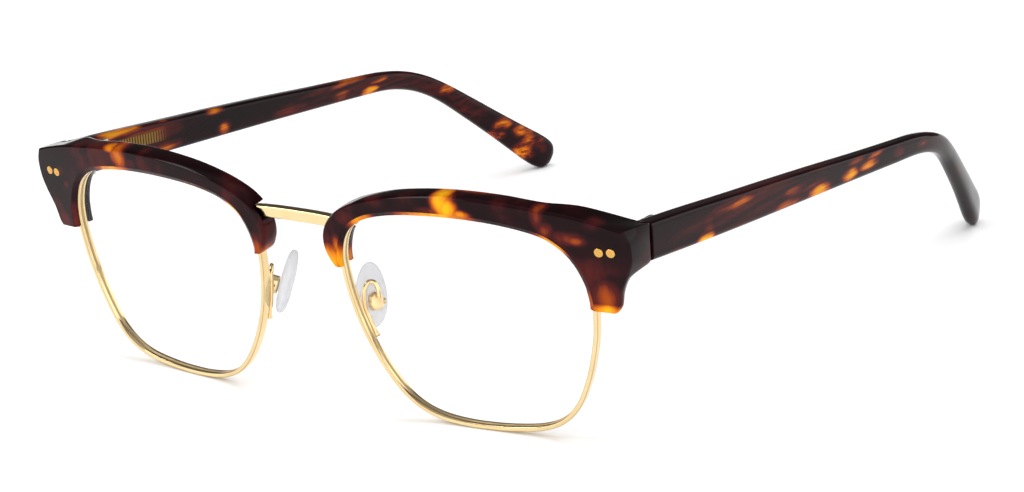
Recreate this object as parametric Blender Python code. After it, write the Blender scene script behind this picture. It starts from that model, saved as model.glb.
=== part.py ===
"""Browline eyeglasses: gold eyewires with tortoise acetate brows and temples, folding at two hinges.

The dimensions below are in millimetres and become metres where a mesh is made. +Z is up, the lenses
face -Y, the temples run towards +Y, and the glasses are symmetric about x = 0. They stand on z = 0 on
the bottoms of the rims and the tips of the temples. Outlines are given for the +X side, as seen
straight from the front, and are mirrored for the -X side.
"""

import math

import bmesh
import bpy
from mathutils import Vector

MM = 0.001
SIDES = {"left": -1, "right": 1}

# The front: one curved and tilted surface that passes through the rims' front edges.
FRONT_Y = -79.04
WRAP = 0.00312
TILT = math.tan(math.radians(8.0))
TILT_Z = 35.5

# Eyewire (rim): half width seen from the front, depth, and the lens groove.
RIM_HALF = 0.48
RIM_DEPTH = 1.9
RIM_EDGE = 0.22
GROOVE = 0.28
RIM_STATIONS = 60
RIM_SPLIT = 0.2

# Lens.
LENS_INSET = 0.78
LENS_FRONT = 0.25
LENS_THICK = 1.5
LENS_BULGE = 0.5
LENS_CENTRE = (35.5, 22.0)
LENS_STATIONS = 44

# Brow: depth of its front and back faces, and the slot that takes the rim.
BROW_FRONT = -1.0
BROW_BACK = 3.3
SLOT_FRONT = -0.25
SLOT_BACK = 2.15
SLOT_REACH = 0.8
BROW_INSET = 0.6
LIP_INSET = 0.45
EDGE_BEVEL = 0.5
INNER_BEVEL = 0.9

# The seam between the endpiece and the temple, behind the front, and the endpiece's back face.
SEAM_Y = 14.0
SEAM_GAP = 0.15
ENDPIECE_BACK = FRONT_Y + SEAM_Y - SEAM_GAP

# Hinge: a vertical axis on the inner side of the seam.
HINGE_X = 63.9
HINGE_Z = 38.0
HINGE_HALF_HEIGHT = 2.7
KNUCKLE_RADIUS = 1.3
KNUCKLES = 5
KNUCKLE_GAP = 0.1
HINGE_SCREW_RADIUS = 0.55
HINGE_BORE_RADIUS = 0.68

# Rivets on the endpiece front.
RIVETS = {"outer": (66.1, 38.2), "inner": (63.9, 38.15)}
RIVET_RADIUS = 0.85
RIVET_LENGTH = 3.6
RIVET_HOLE_RADIUS = 1.0

# Split block that closes the rim.
LOCK_REACH = (0.75, 3.0)
LOCK_ALONG = (0.15, 1.7)
LOCK_DEPTH = (0.1, 1.8)
LOCK_SCREW_RADIUS = 0.45
LOCK_HEAD_RADIUS = 0.8
LOCK_BORE_RADIUS = 0.6
LOCK_SCREW_REACH = 1.95

# Bridge bar.
BRIDGE_HALF = 11.2
BRIDGE_Z = 38.15
BRIDGE_HEIGHT = 2.3
BRIDGE_DEPTH = 1.7
BRIDGE_BOW = 0.5
BRIDGE_DROP = 0.35
NOTCH_GAP = 0.3

# Nose pad: its centre, its long direction, the splay of its width, and its size.
PAD_CENTRE = Vector((10.0, 8.4, 21.9))
PAD_LONG = Vector((-0.18, 0.28, 0.945))
PAD_SPLAY = math.radians(27.0)
PAD_LENGTH = 12.4
PAD_WIDTH = 6.4
PAD_THICK = 2.3
BOX_SIZE = (2.6, 3.4, 1.7)
BOX_POCKET = (1.3, 2.6)
BOX_FLOOR = 0.45
BOX_GAP = 0.35
BOX_SHIFT = -1.2
TAB_SIZE = (0.8, 1.7)
PAD_SCREW_RADIUS = 0.3
PAD_BORE_RADIUS = 0.42
ARM_RADIUS = 0.45

# Core wire inside the temple.
WIRE_HALF = (0.55, 0.8)
WIRE_CLEARANCE = 0.25
WIRE_START = 1.0
WIRE_STATIONS = 14

# Stations of the brow, from the nasal tip over the lens to the bottom of the endpiece. Each has a
# point of the rim's centre line and the point of the brow's outer edge that belongs to it.
BROW = [
    ((9.95, 29.9), (8.8, 29.95)),
    ((9.95, 31.2), (7.8, 31.1)),
    ((10.35, 33.3), (6.95, 33.2)),
    ((11.2, 35.6), (6.95, 35.8)),
    ((12.6, 37.7), (8.15, 38.4)),
    ((14.8, 39.5), (10.9, 41.0)),
    ((18.2, 41.0), (15.7, 43.3)),
    ((23.6, 42.1), (22.4, 45.1)),
    ((30.0, 42.6), (29.8, 46.1)),
    ((37.0, 42.7), (37.3, 46.45)),
    ((44.0, 42.3), (45.3, 46.2)),
    ((50.0, 41.4), (53.0, 45.4)),
    ((54.0, 40.2), (60.0, 44.45)),
    ((57.0, 38.2), (65.0, 43.4)),
    ((58.5, 36.6), (68.9, 42.3)),
    ((59.5, 35.0), (69.8, 40.0)),
    ((60.3, 33.2), (69.8, 36.8)),
    ((60.9, 31.4), (69.0, 34.3)),
    ((61.05, 30.4), (68.3, 32.8)),
    ((61.2, 29.3), (67.2, 30.4)),
    ((61.3, 27.9), (66.6, 27.8)),
    ((61.25, 26.9), (65.9, 26.7)),
]
BROW_CORNER = 14

# Endpiece stations whose back reaches the seam: outer and inner point of the seam's rectangle.
SEAM_STATIONS = {
    13: ((66.3, 41.9), (65.7, 41.6)),
    14: ((69.5, 41.8), (65.7, 40.1)),
    15: ((69.5, 39.3), (65.7, 38.5)),
    16: ((69.5, 36.4), (65.7, 36.6)),
    17: ((69.2, 34.6), (65.8, 34.8)),
}
# Depth of the outer edge's back where it isn't BROW_BACK: it swells before the seam, and below the
# temple it is scooped out.
OUTER_BACK = {12: 4.7, 18: 2.8, 19: 1.6, 20: 1.4, 21: 1.4}

# The rest of the rim's centre line, from the endpiece round the bottom to the nasal tip.
RIM_LOWER = [
    (61.0, 24.2),
    (60.45, 20.6),
    (59.1, 15.6),
    (57.5, 11.3),
    (55.3, 7.1),
    (52.1, 3.75),
    (47.7, 1.75),
    (42.0, 0.85),
    (36.5, 0.5),
    (31.0, 0.6),
    (26.2, 1.3),
    (22.3, 2.8),
    (19.3, 5.1),
    (16.6, 8.5),
    (14.1, 12.8),
    (12.1, 17.6),
    (10.9, 22.0),
    (10.15, 26.4),
]

# Temple: y behind the front, x and z of the centre line, height and thickness.
TEMPLE = [
    (14.15, 67.6, 38.15, 7.1, 3.9),
    (26.0, 67.7, 37.25, 7.0, 3.85),
    (40.0, 67.8, 36.15, 6.6, 3.8),
    (56.0, 67.8, 34.95, 6.1, 3.7),
    (72.0, 67.7, 33.7, 5.5, 3.6),
    (88.0, 67.5, 32.35, 4.8, 3.5),
    (102.0, 67.3, 31.2, 4.35, 3.45),
    (112.0, 67.0, 30.3, 4.2, 3.4),
    (119.0, 66.5, 28.9, 4.2, 3.4),
    (125.0, 65.6, 26.7, 4.2, 3.4),
    (130.5, 64.2, 23.5, 4.3, 3.4),
    (137.2, 62.3, 18.5, 4.9, 3.4),
    (144.3, 60.2, 12.95, 5.7, 3.4),
    (150.0, 58.4, 8.4, 6.6, 3.4),
    (153.6, 57.25, 5.55, 7.2, 3.4),
    (156.1, 56.45, 3.65, 7.1, 3.2),
    (157.73, 55.95, 2.5, 6.0, 2.7),
    (158.63, 55.7, 1.85, 3.6, 1.7),
]

# Route of the nose pad's arm: from its foot on the rim, up, round a loop and down to the box.
ARM = [
    (12.95, 5.75, 15.2),
    (12.4, 5.5, 16.8),
    (11.65, 5.2, 18.9),
    (11.2, 4.95, 20.8),
    (11.1, 4.95, 22.6),
    (11.2, 5.35, 24.3),
    (11.6, 6.1, 25.3),
    (12.3, 6.85, 25.1),
    (12.95, 6.95, 23.9),
    (13.4, 6.6, 22.5),
]


def material(name, color, roughness, metallic=0.0, alpha=1.0):
    made = bpy.data.materials.new(name)
    made.use_nodes = True
    shader = made.node_tree.nodes["Principled BSDF"]
    shader.inputs["Base Color"].default_value = (*color, 1.0)
    shader.inputs["Roughness"].default_value = roughness
    shader.inputs["Metallic"].default_value = metallic
    shader.inputs["Alpha"].default_value = alpha
    return made


def front(x, z, depth=0.0):
    """The point depth behind the front surface, for a point given as seen from the front."""
    y = FRONT_Y + WRAP * x * x / 2 - TILT * (z - TILT_Z)
    normal = Vector((-WRAP * x, 1.0, TILT)).normalized()
    return Vector((x, y, z)) + depth * normal


def mirrored(points, side):
    return [Vector((side * p.x, p.y, p.z)) for p in points]


def catmull(before, start, end, after, t):
    """A point of the smooth curve from start to end."""
    return tuple(
        0.5 * (2 * b + (c - a) * t + (2 * a - 5 * b + 4 * c - d) * t * t + (3 * b - a - 3 * c + d) * t**3)
        for a, b, c, d in zip(before, start, end, after)
    )


def smooth_run(points, steps, closed=False):
    """A smooth curve through the points, with steps points for each span."""
    count = len(points)
    spans = count if closed else count - 1
    out = []
    for i in range(spans):
        before = points[(i - 1) % count] if closed or i else points[0]
        after = points[(i + 2) % count] if closed or i + 2 < count else points[-1]
        for step in range(steps):
            out.append(catmull(before, points[i], points[(i + 1) % count], after, step / steps))
    if not closed:
        out.append(tuple(points[-1]))
    return out


def evenly(points, count, skip=0.0):
    """count points at equal distances along an open line, leaving out skip at both ends."""
    lengths = [0.0]
    for a, b in zip(points, points[1:]):
        lengths.append(lengths[-1] + (Vector(b) - Vector(a)).length)
    out = []
    at = 0
    for i in range(count):
        wanted = skip + (lengths[-1] - 2 * skip) * i / (count - 1)
        while at < len(points) - 2 and lengths[at + 1] < wanted:
            at += 1
        share = (wanted - lengths[at]) / (lengths[at + 1] - lengths[at])
        out.append(Vector(points[at]).lerp(Vector(points[at + 1]), share))
    return out


def outward(before, after):
    """The direction away from the lens, for a line that runs clockwise as seen from the front."""
    along = Vector(after) - Vector(before)
    return Vector((-along.y, along.x)).normalized()


def add_object(name, mesh, finish, pivot=None):
    for polygon in mesh.polygons:
        polygon.use_smooth = True
    mesh.set_sharp_from_angle(angle=math.radians(35))
    mesh.materials.append(finish)
    made = bpy.data.objects.new(name, mesh)
    bpy.context.scene.collection.objects.link(made)
    if pivot is not None:
        made.parent = pivot
    return made


def add_pivot(name, place):
    """An empty at the local origin, for the pieces that turn about it."""
    pivot = bpy.data.objects.new(name, None)
    pivot.location = place(0.0, 0.0, 0.0) * MM
    bpy.context.scene.collection.objects.link(pivot)
    return pivot


def mesh_of(name, points, faces, origin):
    """A mesh with its faces turned outwards. The points are in millimetres."""
    mesh = bpy.data.meshes.new(name)
    mesh.from_pydata([(p - origin) * MM for p in points], [], faces)
    work = bmesh.new()
    work.from_mesh(mesh)
    bmesh.ops.recalc_face_normals(work, faces=work.faces)
    work.to_mesh(mesh)
    work.free()
    return mesh


def solid(name, points, faces, finish, pivot=None):
    origin = Vector() if pivot is None else pivot.location / MM
    return add_object(name, mesh_of(name, points, faces, origin), finish, pivot)


def loft_faces(rings, size, closed=False, first=0):
    """Faces of a tube of rings, each of size points, with end caps unless it is closed."""
    faces = []
    for i in range(rings if closed else rings - 1):
        a = first + i * size
        b = first + (i + 1) % rings * size
        for j in range(size):
            k = (j + 1) % size
            faces.append((a + j, a + k, b + k, b + j))
    if not closed:
        faces.append(tuple(range(first, first + size)))
        faces.append(tuple(range(first + (rings - 1) * size, first + rings * size)))
    return faces


def loft(name, sections, finish, pivot=None):
    points = [p for section in sections for p in section]
    return solid(name, points, loft_faces(len(sections), len(sections[0])), finish, pivot)


def box_points(place, ranges):
    """Two rings of four corners. place turns three local coordinates into a point."""
    (a0, a1), (b0, b1), (c0, c1) = ranges
    corners = [(a0, b0), (a1, b0), (a1, b1), (a0, b1)]
    return [[place(a, b, c) for a, b in corners] for c in (c0, c1)]


def rod_points(place, centre, radius, ends, sides):
    """Two rings of a round rod along the third local direction."""
    turns = [2 * math.pi * i / sides for i in range(sides)]
    return [
        [place(centre[0] + radius * math.cos(t), centre[1] + radius * math.sin(t), end) for t in turns]
        for end in ends
    ]


def combine(target, operation, shapes, side):
    """A Boolean with closed shapes, each a list of rings that don't touch the others'."""
    points = []
    faces = []
    for rings in shapes:
        faces += loft_faces(len(rings), len(rings[0]), first=len(points))
        points += [p for ring in rings for p in mirrored(ring, side)]
    name = target.name + "_helper"
    helper = bpy.data.objects.new(name, mesh_of(name, points, faces, Vector()))
    bpy.context.scene.collection.objects.link(helper)
    helper.hide_render = True
    helper.display_type = "WIRE"
    modifier = target.modifiers.new(operation.lower(), "BOOLEAN")
    modifier.operation = operation
    modifier.object = helper


def cut(target, shapes, side=1):
    combine(target, "DIFFERENCE", shapes, side)


def join(target, shape):
    combine(target, "UNION", [shape], 1)


def rim_line():
    """The rim's centre line: through the brow's stations, then round the bottom, clockwise."""
    return [rim for rim, _ in BROW] + RIM_LOWER


def rim_path(count, skip):
    """Points and outward directions along the rim, from the lock round and back to it."""
    line = smooth_run(rim_line(), 8, closed=True)
    start = 8 * 17
    line = line[start:] + line[: start + 1]
    path = evenly(line, count, skip)
    ends = [path[0]] + path + [path[-1]]
    return [(path[i], outward(ends[i], ends[i + 2])) for i in range(count)]


def make_rim(label, side, finish):
    edge = RIM_EDGE
    profile = [
        (RIM_HALF, edge),
        (RIM_HALF, RIM_DEPTH - edge),
        (RIM_HALF - edge, RIM_DEPTH),
        (edge - RIM_HALF, RIM_DEPTH),
        (-RIM_HALF, RIM_DEPTH - edge),
        (-RIM_HALF, RIM_DEPTH / 2 + GROOVE),
        (GROOVE - RIM_HALF, RIM_DEPTH / 2),
        (-RIM_HALF, RIM_DEPTH / 2 - GROOVE),
        (-RIM_HALF, edge),
        (edge - RIM_HALF, 0.0),
        (RIM_HALF - edge, 0.0),
    ]
    sections = []
    for point, away in rim_path(RIM_STATIONS, RIM_SPLIT):
        ring = [front(*(point + reach * away), depth) for reach, depth in profile]
        sections.append(mirrored(ring, side))
    loft("rim_" + label, sections, finish)


def make_lens(label, side, finish):
    """A thin curved shell: rings on the front, then rings on the back."""
    centre = Vector(LENS_CENTRE)
    path = rim_path(LENS_STATIONS + 1, 0.0)[:-1]
    edge = [point - LENS_INSET * away for point, away in path]
    points = []
    for side_depth in (LENS_FRONT, LENS_FRONT + LENS_THICK):
        for share in (1.0, 0.62):
            depth = side_depth - LENS_BULGE * (1 - share * share)
            points += [front(*centre.lerp(p, share), depth) for p in edge]
        points.append(front(*centre, side_depth - LENS_BULGE))
    faces = []
    face_size = 2 * LENS_STATIONS + 1
    for i in range(LENS_STATIONS):
        j = (i + 1) % LENS_STATIONS
        for first in (0, face_size):
            inner = first + LENS_STATIONS
            faces.append((first + i, first + j, inner + j, inner + i))
            faces.append((inner + i, inner + j, first + face_size - 1))
        faces.append((i, j, face_size + j, face_size + i))
    solid("lens_" + label, mirrored(points, side), faces, finish)


def brow_section(index):
    """One section of the brow at a station, as a ring of points."""
    line = rim_line()
    rim = Vector(line[index])
    away = outward(line[index - 1], line[index + 1])
    outer = Vector(BROW[index][1])
    inward = (rim - outer).normalized()
    width = (rim - outer).length
    bevel = min(EDGE_BEVEL, 0.25 * width)
    face_inner = min(INNER_BEVEL, 0.35 * width) - BROW_INSET
    back = OUTER_BACK.get(index, BROW_BACK)
    middle = front(*(outer + 0.3 * width * inward), BROW_BACK)
    ring = [
        front(*(rim - BROW_INSET * away), SLOT_FRONT),
        front(*(rim - BROW_INSET * away), BROW_FRONT + EDGE_BEVEL),
        front(*(rim + face_inner * away), BROW_FRONT),
        front(*(outer + bevel * inward), BROW_FRONT),
        front(*outer, BROW_FRONT + bevel),
        front(*outer, back - bevel),
        front(*(outer + bevel * inward), back),
        middle,
        front(*(outer + 0.45 * width * inward), BROW_BACK),
        front(*(rim + (0.3 - LIP_INSET) * away), BROW_BACK),
        front(*(rim - LIP_INSET * away), BROW_BACK - 0.3),
        front(*(rim - LIP_INSET * away), SLOT_BACK),
        front(*(rim + SLOT_REACH * away), SLOT_BACK),
        front(*(rim + SLOT_REACH * away), SLOT_FRONT),
    ]
    if index in SEAM_STATIONS:
        (out_x, out_z), (in_x, in_z) = SEAM_STATIONS[index]
        back_outer = Vector((out_x, ENDPIECE_BACK, out_z))
        back_inner = Vector((in_x, ENDPIECE_BACK, in_z))
        ring[5] = back_outer - Vector((0.0, bevel, 0.0))
        ring[6] = back_outer.lerp(back_inner, 0.08)
        ring[7] = back_inner
        ring[8] = front(in_x + 0.6, in_z - 0.45, BROW_BACK)
    return ring


def brow_sections():
    """Sections at the stations and halfway between them, none reaching past the endpiece's back face.

    The outline's corner stays sharp.
    """
    stations = [brow_section(i) for i in range(len(BROW))]
    lines = [[tuple(ring[j]) for ring in stations] for j in range(len(stations[0]))]
    refined = []
    for line in lines:
        before = smooth_run(line[: BROW_CORNER + 1], 2)
        after = smooth_run(line[BROW_CORNER:], 2)
        refined.append(before + after[1:])
    return [[Vector((x, min(y, ENDPIECE_BACK), z)) for x, y, z in section] for section in zip(*refined)]


def lock_place():
    """Local coordinates at the rim's split: away from the lens, along the rim, and back."""
    (point, away), *_ = rim_path(RIM_STATIONS, 0.0)
    along = Vector((-away.y, away.x))

    def place(reach, step, depth):
        return front(*(point + reach * away + step * along), depth)

    return place


def make_brow(label, side, finish):
    brow = loft("brow_" + label, [mirrored(s, side) for s in brow_sections()], finish)
    place = lock_place()
    reach = BRIDGE_HEIGHT / 2 + NOTCH_GAP
    heights = (BRIDGE_Z - BRIDGE_DROP - reach, BRIDGE_Z + reach)
    notch = box_points(front, ((3.0, BRIDGE_HALF + 1.7), heights, (SLOT_FRONT, BROW_BACK + 2.5)))
    pocket = box_points(place, ((0.3, 3.4), (-2.7, 2.1), (SLOT_FRONT + 0.05, SLOT_BACK - 0.05)))
    ends = (BROW_FRONT - 0.6, BROW_FRONT + RIVET_LENGTH + 0.3)
    holes = [rod_points(front, spot, RIVET_HOLE_RADIUS, ends, 16) for spot in RIVETS.values()]
    cut(brow, [notch, pocket, *holes], side)


def make_rivets(label, side, finish):
    for where, spot in RIVETS.items():
        rings = rod_points(front, spot, RIVET_RADIUS, (BROW_FRONT, BROW_FRONT + RIVET_LENGTH), 16)
        loft(f"rivet_{where}_{label}", [mirrored(r, side) for r in rings], finish)


def make_lock(label, side, finish):
    """The two halves of the split block, and the screw that draws them together."""
    place = lock_place()
    middle = sum(LOCK_DEPTH) / 2

    def along_place(reach, depth, step):
        return place(reach, step, depth)

    low, high = LOCK_ALONG
    for half, steps in {"upper": (low, high), "lower": (-high, -low)}.items():
        rings = box_points(place, (LOCK_REACH, steps, LOCK_DEPTH))
        block = loft(f"rim_lock_{half}_{label}", [mirrored(r, side) for r in rings], finish)
        bore = rod_points(along_place, (LOCK_SCREW_REACH, middle), LOCK_BORE_RADIUS, (-3.0, 3.0), 12)
        cut(block, [bore], side)
    centre = (LOCK_SCREW_REACH, middle)
    head = rod_points(along_place, centre, LOCK_HEAD_RADIUS, (-2.45, -1.95), 12)
    shank = rod_points(along_place, centre, LOCK_SCREW_RADIUS, (-1.95, 1.6), 12)
    loft("rim_lock_screw_" + label, [mirrored(r, side) for r in head + shank], finish)


def make_bridge(finish):
    """A bar with rounded edges that bows back a little and dips at both ends."""
    sections = []
    half_height = BRIDGE_HEIGHT / 2
    half_depth = BRIDGE_DEPTH / 2
    edge = 0.4
    profile = [
        (half_height - edge, -half_depth),
        (half_height, edge - half_depth),
        (half_height, half_depth - edge),
        (half_height - edge, half_depth),
        (edge - half_height, half_depth),
        (-half_height, half_depth - edge),
        (-half_height, edge - half_depth),
        (edge - half_height, -half_depth),
    ]
    for i in range(17):
        share = i / 8 - 1
        x = BRIDGE_HALF * share
        z = BRIDGE_Z - BRIDGE_DROP * share**4
        depth = half_depth + 0.1 + BRIDGE_BOW * (1 - share * share)
        sections.append([front(x, z + up, depth + back) for up, back in profile])
    loft("bridge", sections, finish)


def pad_place(side):
    """Local coordinates at the nose pad: across its width, along it, and out from the nose."""
    long_way = PAD_LONG.normalized()
    wide_way = Vector((math.sin(PAD_SPLAY), math.cos(PAD_SPLAY), 0.0))
    wide_way = (wide_way - wide_way.dot(long_way) * long_way).normalized()
    away = wide_way.cross(long_way)
    centre = PAD_CENTRE + Vector((0.0, FRONT_Y, 0.0))

    def place(wide, long, out):
        point = centre + wide * wide_way + long * long_way + out * away
        return Vector((side * point.x, point.y, point.z))

    return place


def clip_place(side):
    """Local coordinates round the pad's screw. The screw runs along the pad's width."""
    place = pad_place(side)
    screw_out = PAD_THICK / 2 + BOX_GAP + (BOX_SIZE[2] - BOX_FLOOR) / 2

    def shifted(wide, long, out):
        return place(wide, long + BOX_SHIFT, out + screw_out)

    return shifted


def screw_place(place):
    """The same coordinates in another order, for a rod along the width."""

    def turned(long, out, wide):
        return place(wide, long, out)

    return turned


def pad_rings(place):
    """Rings of the pad from its nose side to its outer side: an egg outline, rounded at the edge."""
    rings = []
    for out, share in ((-0.5, 0.55), (-0.42, 0.8), (-0.15, 0.97), (0.15, 0.97), (0.42, 0.8), (0.5, 0.5)):
        ring = []
        for i in range(20):
            turn = 2 * math.pi * i / 20
            narrow = 1.0 - 0.14 * math.sin(turn)
            wide = 0.5 * PAD_WIDTH * share * narrow * math.cos(turn)
            long = 0.5 * PAD_LENGTH * share * math.sin(turn)
            ring.append(place(wide, long, out * PAD_THICK))
        rings.append(ring)
    return rings


def make_pad(label, side, finish, pivot):
    """The pad with the tab that the screw passes through."""
    place = clip_place(side)
    half_wide, half_long = TAB_SIZE[0] / 2, TAB_SIZE[1] / 2
    foot = -(BOX_SIZE[2] - BOX_FLOOR) / 2 - BOX_GAP - PAD_THICK / 3
    pad = loft("nose_pad_" + label, pad_rings(pad_place(side)), finish, pivot)
    tab = box_points(place, ((-half_wide, half_wide), (-half_long, half_long), (foot, 0.4)))
    join(pad, tab)
    cut(pad, [rod_points(screw_place(place), (0.0, 0.0), PAD_BORE_RADIUS, (-0.8, 0.8), 10)])


def make_pad_box(label, side, finish):
    """A small eight-sided box, open towards the pad."""
    place = clip_place(side)
    half_wide, half_long = BOX_SIZE[0] / 2, BOX_SIZE[1] / 2
    quarter = [(1.0, 0.55), (0.45, 1.0)]
    half = quarter + [(-wide, long) for wide, long in reversed(quarter)]
    corners = half + [(-wide, -long) for wide, long in half]
    outline = [(wide * half_wide, long * half_long) for wide, long in corners]
    inner = -(BOX_SIZE[2] - BOX_FLOOR) / 2
    outer = inner + BOX_SIZE[2]
    rings = [[place(wide, long, out) for wide, long in outline] for out in (inner, outer)]
    pad_box = loft("pad_box_" + label, rings, finish)
    wide, long = BOX_POCKET[0] / 2, BOX_POCKET[1] / 2
    pocket = box_points(place, ((-wide, wide), (-long, long), (inner - 0.5, outer - BOX_FLOOR)))
    cut(pad_box, [pocket])
    cut(pad_box, [rod_points(screw_place(place), (0.0, 0.0), PAD_BORE_RADIUS, (-2.0, 2.0), 10)])
    head = rod_points(screw_place(place), (0.0, 0.0), 2 * PAD_SCREW_RADIUS, (1.85, 1.45), 10)
    shank = rod_points(screw_place(place), (0.0, 0.0), PAD_SCREW_RADIUS, (1.45, -1.3), 10)
    loft("pad_screw_" + label, head + shank, finish)


def tube_sections(path, radius, sides):
    """Rings of a round tube along a path, each square to it."""
    sections = []
    for i, point in enumerate(path):
        along = (path[min(i + 1, len(path) - 1)] - path[max(i - 1, 0)]).normalized()
        first = along.cross(Vector((0.3, 1.0, 0.1))).normalized()
        second = along.cross(first)
        turns = [2 * math.pi * j / sides for j in range(sides)]
        sections.append([point + radius * (math.cos(t) * first + math.sin(t) * second) for t in turns])
    return sections


def make_arm(label, side, finish):
    path = [Vector(p) + Vector((0.0, FRONT_Y, 0.0)) for p in smooth_run(ARM, 3)]
    sections = tube_sections(path, ARM_RADIUS, 8)
    loft("pad_arm_" + label, [mirrored(s, side) for s in sections], finish)


def hinge_place(side):
    """Local coordinates at the hinge: out from the hinge's axis, back from the seam, and up."""

    def place(out, back, up):
        return Vector((side * (HINGE_X + out), FRONT_Y + SEAM_Y + back, HINGE_Z + up))

    return place


def knuckle_slots(place, mine):
    """Boxes that clear the other leaf's knuckles."""
    pitch = 2 * HINGE_HALF_HEIGHT / KNUCKLES
    reach = KNUCKLE_RADIUS + 0.2
    slots = []
    for i in range(KNUCKLES):
        if i % 2 != mine:
            low = -HINGE_HALF_HEIGHT + i * pitch - KNUCKLE_GAP / 2
            high = low + pitch + KNUCKLE_GAP
            slots.append(box_points(place, ((-reach, reach), (-reach, reach), (low, high))))
    return slots


def leaf_rings(place, outline):
    half = HINGE_HALF_HEIGHT
    return [[place(out, back, up) for out, back in outline] for up in (-half, half)]


def make_hinge(label, side, finish, pivot):
    """Two leaves with interlocking knuckles round one screw."""
    place = hinge_place(side)
    radius = KNUCKLE_RADIUS
    arc = [math.radians(a) for a in range(-30, 211, 30)]
    round_end = [(radius * math.cos(a), radius * math.sin(a)) for a in arc]
    plate_left, plate_back = -2.3, -2.9
    front_leaf = round_end + [
        (-0.95, plate_back + 0.4),
        (plate_left, plate_back - 0.15),
        (plate_left, plate_back - 0.75),
        (1.2, plate_back - 0.05),
        (1.2, plate_back + 0.6),
    ]
    arc = [math.radians(a) for a in range(80, 331, 25)]
    round_end = [(radius * math.cos(a), radius * math.sin(a)) for a in arc]
    temple_leaf = round_end + [(1.5, 0.3), (1.5, 7.0), (0.75, 7.0), (0.75, 1.6)]
    bore = rod_points(place, (0.0, 0.0), HINGE_BORE_RADIUS, (-4.0, 4.0), 14)
    fixed = loft("hinge_front_leaf_" + label, leaf_rings(place, front_leaf), finish)
    cut(fixed, knuckle_slots(place, 0))
    cut(fixed, [bore])
    moving = loft("hinge_temple_leaf_" + label, leaf_rings(place, temple_leaf), finish, pivot)
    cut(moving, knuckle_slots(place, 1))
    cut(moving, [bore])
    head_bottom = HINGE_HALF_HEIGHT + 0.1
    head = rod_points(place, (0.0, 0.0), 1.0, (head_bottom + 0.45, head_bottom), 14)
    shank = rod_points(place, (0.0, 0.0), HINGE_SCREW_RADIUS, (head_bottom, -HINGE_HALF_HEIGHT), 14)
    loft("hinge_screw_" + label, head + shank, finish)


def temple_stations(steps):
    """Centre, directions up and across, height and thickness along the temple."""
    rows = smooth_run(TEMPLE, steps)
    stations = []
    for i, (y, x, z, height, thick) in enumerate(rows):
        a = rows[max(i - 1, 0)]
        b = rows[min(i + 1, len(rows) - 1)]
        along = Vector((b[1] - a[1], b[0] - a[0], b[2] - a[2])).normalized()
        if i == 0:
            along = Vector((0.0, 1.0, 0.0))
        across = along.cross(Vector((0.0, 0.0, 1.0))).normalized()
        up = across.cross(along).normalized()
        stations.append((Vector((x, FRONT_Y + y, z)), across, up, height, thick))
    return stations


def box_ring(centre, across, up, half_thick, half_height, edge):
    """A ring of eight points: a rectangle with its corners cut."""
    a, b = half_thick - edge, half_height - edge
    spots = [
        (half_thick, -b), (half_thick, b), (a, half_height), (-a, half_height),
        (-half_thick, b), (-half_thick, -b), (-a, -half_height), (a, -half_height),
    ]
    return [centre + s * across + t * up for s, t in spots]


def make_temple(label, side, finish, pivot):
    """The outer skin and the wire's bore in one closed shape, open at the front end."""
    stations = temple_stations(2)
    outer = []
    for centre, across, up, height, thick in stations:
        edge = min(0.8, 0.3 * thick)
        outer.append(mirrored(box_ring(centre, across, up, thick / 2, height / 2, edge), side))
    gap = WIRE_CLEARANCE
    bore = [
        mirrored(box_ring(centre, across, up, WIRE_HALF[0] + gap, WIRE_HALF[1] + gap, 0.3), side)
        for centre, across, up, _, _ in stations[: WIRE_STATIONS + 3]
    ]
    rings = list(reversed(outer)) + bore
    points = [p for ring in rings for p in ring]
    solid("temple_" + label, points, loft_faces(len(rings), 8), finish, pivot)


def make_core_wire(label, side, finish, pivot):
    stations = temple_stations(2)[: WIRE_STATIONS + 2]
    rings = []
    for i, (centre, across, up, _, _) in enumerate(stations):
        middle = centre + Vector((0.0, WIRE_START, 0.0)) if i == 0 else centre
        rings.append(mirrored(box_ring(middle, across, up, WIRE_HALF[0], WIRE_HALF[1], 0.25), side))
    loft("core_wire_" + label, rings, finish, pivot)


def main():
    for old in list(bpy.data.objects):
        bpy.data.objects.remove(old, do_unlink=True)
    acetate = material("tortoise_acetate", (0.09, 0.03, 0.015), 0.18)
    gold = material("pale_gold", (0.85, 0.65, 0.36), 0.22, metallic=1.0)
    steel = material("hinge_steel", (0.62, 0.58, 0.5), 0.3, metallic=1.0)
    glass = material("clear_lens", (0.98, 0.99, 1.0), 0.02, alpha=0.08)
    silicone = material("clear_silicone", (0.86, 0.88, 0.9), 0.25, alpha=0.5)
    make_bridge(gold)
    for label, side in SIDES.items():
        make_rim(label, side, gold)
        make_lens(label, side, glass)
        make_brow(label, side, acetate)
        make_rivets(label, side, gold)
        make_lock(label, side, gold)
        make_arm(label, side, gold)
        make_pad_box(label, side, gold)
        make_pad(label, side, silicone, add_pivot("pad_axis_" + label, clip_place(side)))
        pivot = add_pivot("hinge_axis_" + label, hinge_place(side))
        make_hinge(label, side, steel, pivot)
        make_temple(label, side, acetate, pivot)
        make_core_wire(label, side, gold, pivot)


main()
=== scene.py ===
"""The looks of the browline eyeglasses: fine meshes for every visible piece, and their materials.

Shapes are worked out in millimetres, in the frame of the model, and become metres where a mesh is
made. Outlines are given for the +X side, as seen straight from the front, and are mirrored for -X.
"""

import math

import bmesh
import bpy
from mathutils import Matrix, Vector


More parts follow.
